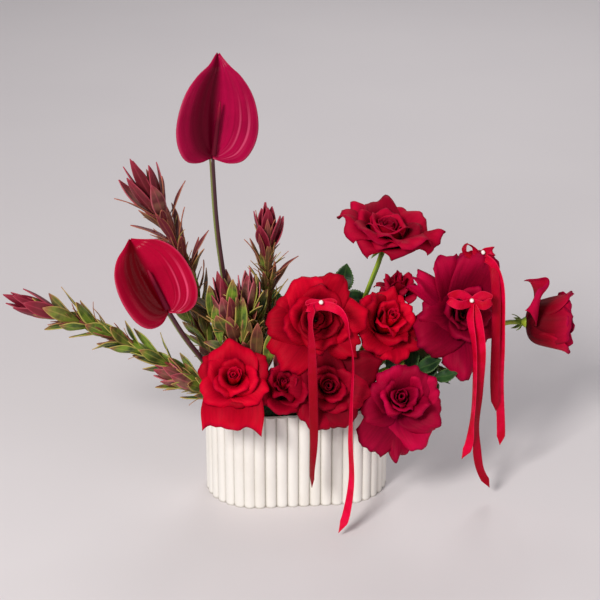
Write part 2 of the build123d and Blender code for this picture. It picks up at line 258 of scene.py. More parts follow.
class Shader:
    """A principled material whose nodes are added by short calls."""

    def __init__(self, name, **sockets):
        self.material = bpy.data.materials.new(name)
        self.material.use_nodes = True
        self.tree = self.material.node_tree
        self.surface = self.tree.nodes["Principled BSDF"]
        for socket, value in sockets.items():
            self.set(socket.replace("_", " "), value)

    def node(self, kind, **settings):
        made = self.tree.nodes.new("ShaderNode" + kind)
        for setting, value in settings.items():
            setattr(made, setting, value)
        return made

    def feed(self, socket, value):
        """Links another node's socket, or sets a number or a screen colour."""
        if isinstance(value, bpy.types.NodeSocket):
            self.tree.links.new(value, socket)
        else:
            socket.default_value = tint(*value) if isinstance(value, tuple) else value

    def set(self, socket, value):
        self.feed(self.surface.inputs[socket], value)

    def field(self, name):
        return self.node("Attribute", attribute_name=name).outputs["Fac"]

    def position(self, stretch=(1, 1, 1)):
        mapping = self.node("Mapping")
        mapping.inputs["Scale"].default_value = stretch
        self.feed(mapping.inputs["Vector"], self.node("TexCoord").outputs["Object"])
        return mapping.outputs["Vector"]

    def math(self, operation, *values):
        made = self.node("Math", operation=operation)
        for socket, value in zip(made.inputs, values):
            self.feed(socket, value)
        return made.outputs[0]

    def times(self, a, b):
        return self.math("MULTIPLY", a, b)

    def plus(self, a, b):
        return self.math("ADD", a, b)

    def absolute(self, value):
        return self.math("ABSOLUTE", value)

    def inverse(self, value):
        return self.math("SUBTRACT", 1.0, value)

    def blend(self, factor, a, b, kind="MIX"):
        made = self.node("Mix", data_type="RGBA", blend_type=kind)
        self.feed(made.inputs["Factor"], factor)
        self.feed(made.inputs[6], a)
        self.feed(made.inputs[7], b)
        return made.outputs[2]

    def cover(self, colour, share, mask, paint):
        """The colour with some paint over it, where the mask is 1."""
        return self.blend(self.times(mask, share), colour, paint)

    def noise(self, scale, detail, stretch=(1, 1, 1)):
        made = self.node("TexNoise")
        made.inputs["Scale"].default_value = scale
        made.inputs["Detail"].default_value = detail
        self.feed(made.inputs["Vector"], self.position(stretch))
        return made.outputs["Fac"]

    def streaks(self, around, lengthwise, detail):
        """Irregular veins that run along a petal or leaf."""
        made = self.node("TexNoise")
        made.inputs["Scale"].default_value = 1.0
        made.inputs["Detail"].default_value = detail
        spot = self.node("CombineXYZ")
        self.feed(spot.inputs["X"], self.times(self.field("across"), around))
        self.feed(spot.inputs["Y"], self.times(self.field("along"), lengthwise))
        self.feed(spot.inputs["Z"], self.times(self.field("tone"), 40.0))
        self.feed(made.inputs["Vector"], spot.outputs["Vector"])
        return made.outputs["Fac"]

    def ramp(self, factor, *stops):
        made = self.node("ValToRGB")
        elements = made.color_ramp.elements
        while len(elements) < len(stops):
            elements.new(0.5)
        for element, (at, colour) in zip(elements, stops):
            element.position = at
            element.color = tint(*colour)
        self.feed(made.inputs["Fac"], factor)
        return made.outputs["Color"]

    def step(self, factor, low, high):
        """0 below low, 1 above high, smooth between."""
        made = self.node("MapRange", interpolation_type="SMOOTHSTEP")
        self.feed(made.inputs["Value"], factor)
        made.inputs["From Min"].default_value = low
        made.inputs["From Max"].default_value = high
        return made.outputs["Result"]

    def bump(self, height, distance, strength):
        """Raises the surface by a height, distance metres at the most."""
        made = self.node("Bump")
        made.inputs["Strength"].default_value = strength
        made.inputs["Distance"].default_value = distance
        self.feed(made.inputs["Height"], height)
        self.feed(self.surface.inputs["Normal"], made.outputs["Normal"])

    def ripple(self, value, turns):
        """A wave from 0 to 1, so many turns for each unit of the value."""
        angle = self.times(value, turns * 2 * math.pi)
        return self.plus(self.times(self.math("SINE", angle), 0.5), 0.5)


def petal_material(name, throat_shade, middle, lip, back):
    """Velvet petals: painted shade at the base, brighter at the lip, cooler outside."""
    m = Shader(
        name,
        Roughness=0.60,
        Specular_IOR_Level=0.05,
        Sheen_Weight=0.03,
        Sheen_Roughness=0.4,
        Sheen_Tint=(255, 10, 60),
    )
    along, tone = m.field("along"), m.field("tone")
    # Painted shade: each petal is dark at its base, where the petals shade each other, and brighter
    # towards the lip.
    colour = m.ramp(along, (0.20, throat_shade), (0.62, middle), (0.92, lip), (0.99, back))
    colour = m.cover(colour, 0.5, m.field("back"), back)
    patches = m.step(m.noise(34, 4), 0.35, 0.7)
    colour = m.cover(colour, 0.30, patches, middle)
    # Each petal is darkened by its tone: by a random amount, partly painted shade that differs from
    # petal to petal, and the most, as painted shade, deep in a bowl.
    shade = m.math("MULTIPLY_ADD", tone, 0.62, 0.56)
    grey = m.node("CombineColor")
    for channel in ("Red", "Green", "Blue"):
        m.feed(grey.inputs[channel], shade)
    colour = m.blend(1.0, colour, grey.outputs["Color"], "MULTIPLY")
    veins = m.streaks(11, 1.6, 4)
    fade = m.times(m.step(veins, 0.42, 0.66), m.math("SUBTRACT", 1.2, along))
    m.set("Base Color", m.cover(colour, 0.28, fade, throat_shade))
    creases = m.times(m.streaks(5, 2.2, 2), 2.2)
    m.bump(m.plus(creases, m.times(m.noise(420, 2), 0.3)), 0.0010, 0.45)
    return m.material


def spathe_material(name, dark, light, highlight):
    """A waxy spathe: painted shade on one side beside the midrib, painted highlight streaks along
    the veins on the other, and a painted highlight round its edge.
    """
    m = Shader(
        name, Roughness=0.28, Specular_IOR_Level=0.05, Coat_Weight=0.03, Coat_Roughness=0.15
    )
    across, along = m.field("across"), m.field("along")
    # Painted shade: dark beside the midrib on the left, lighter again at the far left edge; the
    # right side is lit.
    dusk = m.blend(m.step(across, -1.0, -0.45), light, dark)
    colour = m.blend(m.step(across, -0.16, 0.22), dusk, light)
    cloud = m.step(m.noise(26, 3), 0.4, 0.65)
    colour = m.cover(colour, 0.25, cloud, dark)
    veins = m.step(m.streaks(13, 0.8, 3), 0.48, 0.70)
    # Painted highlight: pale streaks along the veins on the lit side, towards the joint.
    lit = m.times(m.step(across, 0.05, 0.7), m.inverse(m.step(along, 0.25, 0.75)))
    colour = m.cover(colour, 0.85, m.times(veins, lit), highlight)
    colour = m.cover(colour, 0.25, m.step(m.streaks(17, 1.0, 2), 0.5, 0.7), dark)
    # Painted highlight round the edge.
    edge = m.step(m.absolute(across), 0.93, 1.0)
    m.set("Base Color", m.cover(colour, 0.35, edge, highlight))
    m.bump(m.plus(m.noise(240, 3), m.times(m.streaks(13, 0.8, 3), 1.5)), 0.0004, 0.5)
    return m.material


def leaf_material(name, green, dark, margin, tip, blush):
    """A leathery leaf with a coloured margin. tone turns it from green to blush."""
    m = Shader(
        name, Roughness=0.48, Specular_IOR_Level=0.24, Coat_Weight=0.06, Coat_Roughness=0.4
    )
    along, across, tone = m.field("along"), m.field("across"), m.field("tone")
    colour = m.blend(m.step(m.noise(70, 3), 0.35, 0.65), dark, green)
    colour = m.blend(m.step(tone, 0.25, 0.95), colour, blush)
    colour = m.cover(colour, 0.6, m.step(along, 0.72, 1.0), tip)
    margin = m.cover(margin, 0.7, m.step(tone, 0.2, 0.8), tip)
    rib = m.inverse(m.step(m.absolute(across), 0.03, 0.14))
    colour = m.cover(colour, 0.30, rib, margin)
    edge = m.step(m.absolute(across), 0.76, 0.94)
    m.set("Base Color", m.cover(colour, 0.70, edge, margin))
    m.bump(m.plus(m.noise(260, 3), m.times(m.ripple(across, 6), 0.3)), 0.0004, 0.45)
    return m.material


def stem_material(name, light, dark, stripe):
    """A stem with painted light: lit on one side, in painted shade round the rest, with fine
    streaks along it.
    """
    m = Shader(name, Roughness=0.42, Specular_IOR_Level=0.45)
    # Painted light and shade: the light colour on one side of the stem, the dark one round the
    # rest.
    side = m.step(m.field("across"), -0.9, -0.1)
    colour = m.blend(side, light, dark)
    streaks = m.step(m.noise(160, 3, (1, 1, 0.08)), 0.45, 0.7)
    m.set("Base Color", m.cover(colour, 0.5, streaks, stripe))
    m.bump(m.noise(300, 3, (1, 1, 0.1)), 0.0003, 0.4)
    return m.material


def ceramic_material():
    """Matte bisque glaze: chalky, faintly mottled, with fine pits and painted shade in the grooves
    between the flutes.
    """
    m = Shader("bisque", Roughness=0.62, Specular_IOR_Level=0.35)
    mottle = m.step(m.noise(14, 5), 0.35, 0.7)
    colour = m.blend(mottle, (236, 232, 226), (228, 223, 215))
    specks = m.step(m.noise(520, 2), 0.70, 0.78)
    colour = m.cover(colour, 0.25, specks, (190, 178, 160))
    # Painted shade: darker where the surface is hemmed in, in the grooves between the flutes.
    groove = m.node("AmbientOcclusion", samples=6)
    groove.inputs["Distance"].default_value = 0.004
    shade = m.inverse(m.step(groove.outputs["AO"], 0.35, 0.92))
    m.set("Base Color", m.cover(colour, 0.85, shade, (128, 120, 104)))
    m.bump(m.plus(m.noise(180, 5), m.times(m.noise(30, 3), 1.5)), 0.0005, 0.35)
    return m.material


def foam_material():
    """Wet floral foam: dark green, full of fine cells."""
    m = Shader("wet_foam", Roughness=0.8, Specular_IOR_Level=0.3)
    cells = m.node("TexVoronoi")
    cells.inputs["Scale"].default_value = 900
    m.feed(cells.inputs["Vector"], m.position())
    colour = m.blend(m.noise(60, 4), (22, 52, 26), (48, 86, 44))
    colour = m.blend(m.step(cells.outputs["Distance"], 0.3, 0.6), colour, (20, 40, 20))
    m.set("Base Color", colour)
    m.bump(cells.outputs["Distance"], 0.0008, 0.8)
    return m.material


def liner_material():
    """A thin moulded plastic liner, dark grey with a fine moulded grain."""
    m = Shader("liner_plastic", Roughness=0.45)
    m.set("Base Color", m.blend(m.noise(90, 3), (38, 40, 38), (52, 54, 50)))
    m.bump(m.noise(700, 2), 0.0002, 0.5)
    return m.material


def satin_material():
    """Satin ribbon: fine threads across it, a painted highlight along its edges, painted shade from
    its tone, and a bright red sheen.
    """
    m = Shader(
        "red_satin",
        Roughness=0.38,
        Specular_IOR_Level=0.07,
        Sheen_Weight=0.02,
        Sheen_Roughness=0.3,
        Sheen_Tint=(255, 40, 90),
        Anisotropic=0.5,
    )
    across, along = m.field("across"), m.field("along")
    threads = m.ripple(along, 900)
    lengthwise = m.ripple(across, 28)
    colour = m.blend(m.step(m.noise(60, 3), 0.3, 0.7), (196, 0, 36), (226, 2, 62))
    colour = m.cover(colour, 0.12, threads, (150, 0, 20))
    # Painted highlight along both edges.
    edge = m.step(m.absolute(across), 0.80, 0.95)
    colour = m.cover(colour, 0.6, edge, (236, 40, 84))
    # Painted shade: the tone darkens the ribbon where it turns away from the light.
    m.set("Base Color", m.cover(colour, 0.9, m.field("tone"), (118, 2, 14)))
    m.bump(m.plus(threads, m.times(lengthwise, 0.6)), 0.0002, 0.35)
    return m.material


def steel_material():
    """The pin's shaft: steel painted dark red, as painted shade and a painted reflection of the red
    petals round it.
    """
    m = Shader("pin_steel", Roughness=0.5, Specular_IOR_Level=0.1)
    m.set("Base Color", m.blend(m.noise(500, 2), (70, 8, 16), (92, 14, 24)))
    return m.material


def pearl_material():
    """A glossy pearl with a faint warm and cool lustre, and a painted pink sheen towards its rim.
    """
    m = Shader("pearl_lustre", Roughness=0.18, Coat_Weight=0.6, Coat_Roughness=0.08)
    lustre = m.node("LayerWeight")
    lustre.inputs["Blend"].default_value = 0.4
    colour = m.blend(m.noise(300, 2), (244, 236, 226), (232, 220, 216))
    # Painted sheen: pinker where the surface turns away from the camera.
    m.set("Base Color", m.cover(colour, 0.5, lustre.outputs["Facing"], (226, 190, 196)))
    return m.material


def spadix_material(name, low, high):
    """A spadix of tight little flowers: dark, with a lighter tip."""
    m = Shader(name, Roughness=0.5, Specular_IOR_Level=0.12)
    colour = m.blend(m.step(m.field("along"), 0.55, 1.0), low, high)
    m.set("Base Color", m.cover(colour, 0.5, m.noise(900, 2), (40, 4, 16)))
    m.bump(m.noise(1300, 2), 0.0003, 0.6)
    return m.material


def floor_material():
    m = Shader("pale_floor", Roughness=0.7, Specular_IOR_Level=0.2)
    m.set("Base Color", m.blend(m.noise(3, 2), (214, 208, 210), (220, 214, 215)))
    return m.material


# --- roses
# Foam entry, base of the bloom and the way it faces.
ROSES = {
    "tall": ((44, 18), (103, 26, 292), (0.20, -0.14, 0.97)),
    "bow": ((12, -6), (19, -33, 228), (0.00, -0.90, 0.43)),
    "middle": ((50, -6), (95, -11, 204), (0.38, -0.66, 0.65)),
    "rear": ((62, 30), (120, 22, 226), (0.10, -0.10, 0.99)),
    "wide": ((66, 6), (190, 2, 213), (0.16, -0.87, 0.43)),
    "side": ((86, 20), (269, 0, 200), (0.99, -0.14, 0.02)),
    "left": ((-52, -26), (-76, -62, 168), (-0.05, -0.74, 0.67)),
    "small": ((-16, -24), (-19, -54, 150), (-0.05, -0.80, 0.60)),
    "low": ((16, -30), (28, -60, 156), (0.05, -0.85, 0.52)),
    "right": ((66, -26), (111, -62, 134), (0.06, -0.95, 0.30)),
}
# Colour, then for the whorled petals: radius and height, how many stand in the
# bud, round it and outside, how far the outside ones lean and curl (degrees),
# how open the middle is (0 a closed bud, 1 a bowl, over 1 a deep one) and turn.
BLOOMS = {
    "tall": ("deep", 46, 38, (7, 6, 6), 58, 20, 0.8, 20),
    "bow": ("bright", 40, 40, (5, 6, 6), 58, 25, 1.3, 75),
    "middle": ("bright", 33, 42, (8, 4, 4), 44, 25, 0.5, 140),
    "rear": ("deep", 24, 34, (7, 3, 3), 44, 30, 0.2, 10),
    "wide": ("pink", 32, 40, (4, 5, 4), 44, 20, 1.15, 200),
    "side": ("pink", 34, 55, (9, 5, 4), 9, 4, 0.3, 250),
    "left": ("bright", 33, 40, (12, 4, 3), 50, 30, 0.0, 320),
    "small": ("dusk", 23, 38, (8, 3, 3), 26, 20, 0.0, 60),
    "low": ("dusk", 33, 34, (8, 4, 4), 54, 30, 0.4, 30),
    "right": ("pink", 31, 44, (5, 4, 4), 40, 20, 0.9, 250),
}
BODY_OF_ROSE = {"tall": "tall_rose", "side": "side_rose"}

# Buds that look up more than the rose they stand in, in degrees.
BUD_TIP = {"right": 24, "small": 12, "middle": 6}
# Petals that lean less than this, in degrees, close into a round cup.
CUP_LEAN = 20
GUARD_CUP_LEAN = 25
DEEP_BOWL = 0.3  # how far over 1 the deepest bowl goes
# Painted shade in a deep bowl: how far up its colours the petals reach, whorl by whorl; the inner
# ones stay dark.
BOWL_SHADE_REACH = (0.45, 0.72, 1.0)
GUARD_GRID = (26, 23)

# The large outer petals that give each rose its outline: heading round the
# bloom (0 right, 90 up, in degrees), length, width, lean, curl, and how far
# its corners stand out (0 a round petal).
GUARD_PETALS = {
    "tall": (
        (182, 62, 64, 48, 30, 0.05), (222, 54, 62, 42, 30, 0.05), (268, 50, 66, 36, 25, 0.05),
        (312, 60, 60, 44, 30, 0.05), (350, 64, 42, 58, 0, 0), (40, 56, 64, 42, 35, 0.05),
        (95, 56, 66, 40, 35, 0.05), (140, 56, 62, 44, 35, 0.05),
    ),
    "bow": (
        (104, 50, 78, 50, 40, 0.08), (62, 58, 46, 50, 25, 0), (146, 50, 58, 50, 50, 0.05),
        (183, 56, 62, 56, 40, 0), (228, 62, 58, 64, 25, 0.22), (2, 56, 62, 56, 40, 0),
        (318, 58, 46, 60, 35, 0), (276, 36, 50, 46, 50, 0),
    ),
    "middle": (
        (205, 48, 60, 44, 40, 0), (255, 48, 62, 52, 35, 0.05), (305, 44, 56, 50, 40, 0),
        (350, 42, 48, 48, 35, 0), (120, 46, 60, 36, 40, 0), (60, 42, 50, 34, 45, 0),
    ),
    "rear": ((200, 30, 34, 40, 25, 0), (320, 32, 36, 44, 25, 0)),
    "wide": (
        (104, 74, 52, 50, 12, 0.14), (76, 85, 62, 36, 8, 0.04), (142, 76, 30, 58, 0, 0.20),
        (176, 54, 50, 56, 20, 0.05), (206, 70, 66, 54, 30, 0.06), (262, 74, 54, 66, 20, 0.04),
        (318, 46, 54, 50, 45, 0), (20, 44, 54, 46, 45, 0),
    ),
    "side": (
        (112, 58, 56, 76, -16, 0.06), (268, 60, 80, 15, -8, 0.12), (205, 58, 80, 13, -14, 0.12),
        (330, 60, 74, 14, 0, 0.14), (140, 58, 78, 14, -8, 0.12), (60, 60, 78, 15, -6, 0.12),
    ),
    "left": (
        (268, 52, 78, 76, 10, 0.42), (212, 40, 54, 50, 50, 0.05), (326, 40, 56, 50, 50, 0.05),
        (92, 42, 74, 42, 45, 0.05), (30, 42, 52, 46, 45, 0), (150, 42, 52, 48, 45, 0),
    ),
    "small": (
        (262, 36, 46, 32, 15, 0.05), (330, 34, 40, 28, 15, 0), (205, 34, 40, 30, 15, 0),
        (90, 34, 46, 24, 20, 0),
    ),
    "low": (
        (246, 48, 62, 60, 35, 0.05), (294, 48, 60, 62, 35, 0.05), (22, 64, 58, 60, 20, 0),
        (344, 48, 50, 56, 35, 0), (170, 44, 50, 54, 35, 0), (105, 46, 62, 44, 40, 0),
    ),
    "right": (
        (188, 48, 50, 44, 45, 0.05), (226, 60, 52, 60, 20, 0.18), (262, 58, 40, 66, 10, 0.10),
        (294, 52, 56, 60, 30, 0.12), (338, 50, 58, 46, 40, 0.05), (64, 50, 56, 44, 30, 0.05),
        (100, 50, 50, 44, 30, 0.05), (30, 50, 50, 44, 40, 0.05), (140, 42, 50, 44, 45, 0),
    ),
}

# Painted shade at the base of the petals, then their middle, lip and back.
PETAL_COLOURS = {
    "bright": ((38, 0, 2), (166, 0, 12), (222, 2, 32), (182, 0, 44)),
    "deep": ((34, 0, 4), (142, 0, 22), (198, 8, 48), (160, 0, 48)),
    "pink": ((34, 0, 6), (140, 0, 26), (202, 10, 58), (162, 0, 58)),
    # Painted shade: a darker copy of the red for the small and low roses, which stand in shadow.
    "dusk": ((26, 0, 2), (118, 0, 10), (176, 2, 32), (136, 0, 36)),
}
PETALS = {
    name: petal_material(f"petal_{name}", *colours)
    for name, colours in PETAL_COLOURS.items()
}


def petal_grid(
    rng, root, length, width, lean, curl, edge, ruffle, wrap, corners=0.0, size=(20, 15), full=0.0
):
    """One petal in its own frame: it grows from the axis towards +X, +Z is the rose's axis.

    It starts root from the axis, then leans and curls outwards (radians). edge rolls its
    sides back, ruffle waves it, wrap is how flat it lies round the axis, corners draws out
    its corners, size is rows and columns, and full rounds it into a cup.
    """
    v = np.linspace(0, 1, size[0])[:, None]
    u = np.linspace(-1, 1, size[1])[None, :]
    skew, phase = rng.uniform(-0.3, 0.3), rng.uniform(0, 2 * math.pi)
    open_share = min(1.0, 0.3 + lean / 0.6)
    point = rng.uniform(0.04, 0.12) * open_share * np.exp(-(((u - skew) / 0.22) ** 2))
    reach = length * (1 - 0.16 * np.abs(u) ** 3 + corners * np.abs(u) ** 3.4 + point)
    reach = reach * (1 + 0.02 * np.sin(phase * 3 + u * 8) + 0.012 * np.sin(phase * 5 + u * 16))
    turn = mix(math.radians(66 + 20 * full), lean, smooth(v / (0.30 + 0.16 * full)))
    turn = turn + curl * smooth((v - 0.50) / 0.50)
    turn = turn + edge * np.abs(u - 0.4 * skew) ** 2.4 * smooth((v - 0.30) / 0.60)
    turn = turn + min(1.1, 0.25 + 1.2 * edge) * smooth((v - 0.84) / 0.16)
    turn = turn + ruffle * np.sin(phase + u * rng.uniform(3.5, 6.0)) * smooth((v - 0.40) / 0.60)
    step = reach / (size[0] - 1)
    r = root + np.cumsum(np.sin(turn) * step, axis=0) - (np.sin(turn) * step)[:1]
    z = np.cumsum(np.cos(turn) * step, axis=0) - (np.cos(turn) * step)[:1]
    half = width / 2 * (0.30 + 0.70 * smooth(v / 0.55)) * (1 - 0.12 * smooth((v - 0.7) / 0.3))
    bow = np.maximum(r, root + 2.0) * wrap
    angle = np.clip(u * half / bow, -2.6, 2.6)
    fold = np.abs((u * 1.3 + phase) % 1.0 - 0.5) * ruffle * 24 * v**1.5
    out = r - bow * (1 - np.cos(angle)) + 0.7 * u + fold
    wave = ruffle * 4.0 * np.sin(phase * 2 + 3.2 * v + u * 2.5) * v
    wave = wave + 0.7 * np.sin(phase + u * 10 + v * 4) * np.sin(v * 8 + phase * 2) * v**2
    rise = z + ruffle * 9.0 * np.sin(phase * 4 + u * 5.5) * v**3
    grid = np.stack(np.broadcast_arrays(out + wave, bow * np.sin(angle), rise), axis=-1)
    return grid, v, u


def turned(grid, heading):
    """A petal swung round the rose's axis to its heading, in radians."""
    c, s = math.cos(heading), math.sin(heading)
    return grid @ np.array([[c, s, 0], [-s, c, 0], [0, 0, 1]])


def whorled_petals(rng, radius, height, counts, lean, curl, bowl, turn):
    """The bud, the petals round it and the open ones outside, scaled to a radius and height."""
    petals, order = [], 0
    edge_share = min(1.0, 0.1 + lean / 50)
    deep = max(0.0, bowl - 1) / DEEP_BOWL
    roots = 0.05 + 0.20 * bowl * (1 - deep), 0.12 + 0.20 * bowl, 0.22 + 0.14 * bowl
    tipped = 40 * deep
    # Lean of the first and last petal, length, curl, width, edge, ruffle and wrap.
    whorls = (
        (tipped - 4, tipped + 10, mix(0.98, 0.58, bowl), -20, 0.95, 10, 0.04, 0.8),
        (14, 0.5 * lean, mix(1.0, 0.84, bowl), 0.6 * curl, 1.45, 35, 0.10, 1.0),
        (0.7 * lean, lean, 1.12, curl, 1.80, 55, 0.18, 1.35),
    )
    for count, whorl, root, reach in zip(counts, whorls, roots, BOWL_SHADE_REACH):
        inner, outer, long, roll, wide, edge, ruffle, wrap = whorl
        reach = reach if deep > 0 else 1.0
        for i in range(count):
            grid, v, u = petal_grid(
                rng,
                root * radius * mix(0.5, 1.0, i / count),
                long * height * rng.uniform(0.9, 1.08),
                wide * radius * rng.uniform(0.9, 1.1),
                math.radians(mix(inner, outer, i / (count - 1)) + rng.uniform(-5, 5)),
                math.radians(roll * rng.uniform(0.5, 1.3)),
                math.radians(edge * edge_share * rng.uniform(0.6, 1.3)),
                ruffle,
                wrap,
                full=float(lean < CUP_LEAN),
            )
            heading = order * GOLDEN_ANGLE + rng.uniform(-0.2, 0.2) + math.radians(turn)
            # Petals of a deep bowl get tone 0, the darkest, as painted shade; the others a random
            # tone.
            tone = rng.uniform(0, 1) * (reach == 1.0)
            petals.append((turned(grid, heading), v * reach, u, tone))
            order += 1
    widest = max(np.percentile(np.hypot(g[..., 0], g[..., 1]), 97) for g, *_ in petals)
    tallest = max(g[..., 2].max() for g, *_ in petals)
    scale = np.array([radius / widest, radius / widest, height / tallest])
    return [(grid * scale, *rest) for grid, *rest in petals]


def raised(grid, angle):
    """A petal tipped towards the rose's upper side by an angle in radians."""
    c, s = math.cos(angle), math.sin(angle)
    return grid @ np.array([[1, 0, 0], [0, c, -s], [0, s, c]])


def rose_bloom(name, base, facing, *style):
    """All the petals of a rose, from its bud to the large outer ones."""
    rng = np.random.default_rng(sum(map(ord, name)) * 7 + 5)
    tip = math.radians(BUD_TIP.get(name, 0))
    petals = [(raised(grid, tip), *rest) for grid, *rest in whorled_petals(rng, *style)]
    for heading, length, width, lean, curl, corners in GUARD_PETALS[name]:
        edge = lean * rng.uniform(0.5, 0.9) * (1 - 2 * corners)
        ruffle = 0.06 + 0.17 * smooth((lean - 10) / 45)
        lean, curl, edge = (math.radians(a) for a in (lean, curl, edge))
        full = float(name == "side" and lean < math.radians(GUARD_CUP_LEAN))
        root = 5 + 3 * full
        grid, v, u = petal_grid(
            rng, root, length, width, lean, curl, edge, ruffle, 1.0, corners, GUARD_GRID, full
        )
        grid[..., 2] += rng.uniform(0, 5)
        petals.append((turned(grid, math.radians(heading)), v, u, rng.uniform(0.1, 1.0)))
    axes = axes_for(facing, (0, 1, 0) if facing[2] > 0.9 else (0, 0, 1))
    mesh = Mesh()
    for grid, v, u, tone in petals:
        mesh.sheet(grid @ axes + np.asarray(base), 1.2 - 0.6 * v + 0 * u, v, u, tone)
    return mesh


ROSE_STEM = stem_material("rose_stem", (162, 182, 48), (88, 118, 32), (128, 152, 44))
SEPAL = leaf_material(
    "sepal",
    (112, 138, 48),
    (80, 108, 38),
    (160, 176, 84),
    (128, 144, 58),
    (108, 126, 54),
)


def blade_grid(length, width, curve, fold, rows=15, cols=7, belly=0.5, teeth=0, wave=0.0):
    """A leaf in its own frame: along +X, across Y, with +Z its upper face."""
    v = np.linspace(0, 1, rows)[:, None]
    u = np.linspace(-1, 1, cols)[None, :]
    power = math.log(0.5) / math.log(belly)
    outline = np.sin(math.pi * np.clip(v, 0.004, 0.992) ** power) ** 0.85
    if teeth:
        outline = outline * (1 - 0.13 * (v * teeth % 1))
    y = u * outline * width / 2
    bend = curve * v**1.5 + 1e-6
    x = length * np.sin(bend) / bend * v
    z = length * (1 - np.cos(bend)) / bend * v
    z = z + fold * np.abs(y) + wave * np.sin(v * 9 + u * 2) * outline
    return np.stack(np.broadcast_arrays(x, y, z), axis=-1), v, u


def on_stem(grid, origin, along, turn, tilt):
    """A leaf moved to a stem: turned round it and raised by tilt towards its direction."""
    along = unit(along)
    side, other = axes_for(along)[:2]
    outward = side * math.cos(turn) + other * math.sin(turn)
    x = outward * math.cos(tilt) + along * math.sin(tilt)
    z = along * math.cos(tilt) - outward * math.sin(tilt)
    y = np.cross(z, x)
    return grid @ np.array([x, y, z]) + np.asarray(origin)


def make_rose(name, entry, base, facing):
    colour, *style = BLOOMS[name]
    body = BODY_OF_ROSE.get(name, "insert")
    bloom = rose_bloom(name, base, facing, *style)
    petals = bloom.make(f"rose_{name}_petals", PETALS[colour])
    place(petals, body, "rose_petal", f"rose_{name}_bloom")
    out, base = unit(facing), np.asarray(base, float)
    line = stem_line(entry, base - out * NECK, base - out * RECEPTACLE)
    stem = Mesh()
    swell = ROSE_STEM_RADIUS + 0.25 * np.sin(np.linspace(0, 9, len(line)))
    swell[:16] = STEM_IN_FOAM_RADIUS
    stem.tube(line, swell, 16)
    cup = base + np.outer(np.linspace(-RECEPTACLE - 1, 1.5, 8), out)
    stem.tube(cup, 2.9 + 4.4 * smooth(np.linspace(0, 1, 8)), 16)
    place(stem.make(f"rose_{name}_stalk", ROSE_STEM), body, "rose_stem", f"rose_{name}_stem")
    sepals = Mesh()
    rng = np.random.default_rng(len(name) * 31 + 4)
    for i in range(SEPALS):
        grid, v, u = blade_grid(rng.uniform(13, 19), 5, rng.uniform(0.3, 0.8), 0.25, belly=0.36)
        grid[..., 2] *= -1
        droop = -math.radians(rng.uniform(12, 38))
        turn = i * 2 * math.pi / SEPALS + rng.uniform(-0.2, 0.2)
        leaf = on_stem(grid, base - out * 3.5, out, turn, droop)
        sepals.sheet(leaf, 0.7, v, u, rng.uniform(0, 0.4))
    place(sepals.make(f"rose_{name}_sepals", SEPAL), body, "rose_leaf")


# --- anthuriums
# Foam entry, elbow, where the spathe joins, its long axis and the way its face looks.
ANTHURIUMS = {
    "tall": ((-66, 10), (-90, 8, 330), (-93, 10, 412), (0.10, 0.10, 1), (0.28, -1, 0.10)),
    "left": ((-74, -24), (-130, -38, 215), (-147, -44, 250), (-0.44, 0.28, 0.9), (0.12, -1, 0.45)),
}
# Length and width of each spathe, and how far its sides are dished.
SPATHES = {"tall": (116, 96, 10), "left": (92, 84, 16)}
# Half of each spathe's outline, from the joint to the tip: shares of its width
# and shares of its length.
SPATHE_OUTLINES = {
    "tall": (
        (0.0, 0.16, 0.34, 0.455, 0.50, 0.47, 0.385, 0.25, 0.11, 0.012),
        (0.0, -0.045, -0.02, 0.11, 0.28, 0.47, 0.65, 0.80, 0.90, 1.0),
    ),
    "left": (
        (0.0, 0.16, 0.34, 0.455, 0.50, 0.495, 0.43, 0.30, 0.12, 0.012),
        (0.0, -0.085, -0.06, 0.08, 0.28, 0.50, 0.70, 0.85, 0.94, 1.0),
    ),
}
# Shaded side, lit side and painted highlight of each spathe.
SPATHE_COLOURS = {
    "tall": ((80, 0, 22), (158, 6, 58), (206, 76, 112)),
    "left": ((84, 0, 8), (160, 2, 42), (222, 74, 112)),
}
SPATHE_ROWS, SPATHE_COLUMNS = 41, 49


def spathe_grid(name):
    """A heart in its own frame: +Y to its tip, +Z out of its face."""
    length, width, dish = SPATHES[name]
    outline = curve_through(np.transpose(SPATHE_OUTLINES[name]), SPATHE_ROWS) * (width, length)
    u = np.linspace(-1, 1, SPATHE_COLUMNS)[None, :]
    v = np.linspace(0, 1, SPATHE_ROWS)[:, None]
    x = u * outline[:, :1]
    y = mix(v * length * 0.985, outline[:, 1:], np.abs(u) ** 1.3)
    cup = dish * (np.abs(x) / (width / 2)) ** 1.7 * (1 - 0.55 * v)
    crease = 2.6 * (1 - np.exp(-((x / 7) ** 2))) * np.sin(math.pi * np.clip(v, 0, 1)) ** 0.6
    ribs = 0.40 * np.cos(np.abs(u) * 9 * math.pi)
    ribs = ribs * np.sin(math.pi * v) ** 0.7 * smooth(np.abs(u) * 4)
    curl = -9.0 * smooth((v - 0.82) / 0.18) ** 2 * (length / 120)
    wave = 2.2 * np.sin(2.4 * v * math.pi + u * 1.4) * np.abs(u) ** 3
    z = cup + crease + ribs + curl + wave + 3.4
    return np.stack(np.broadcast_arrays(x, y, z), axis=-1), v, u


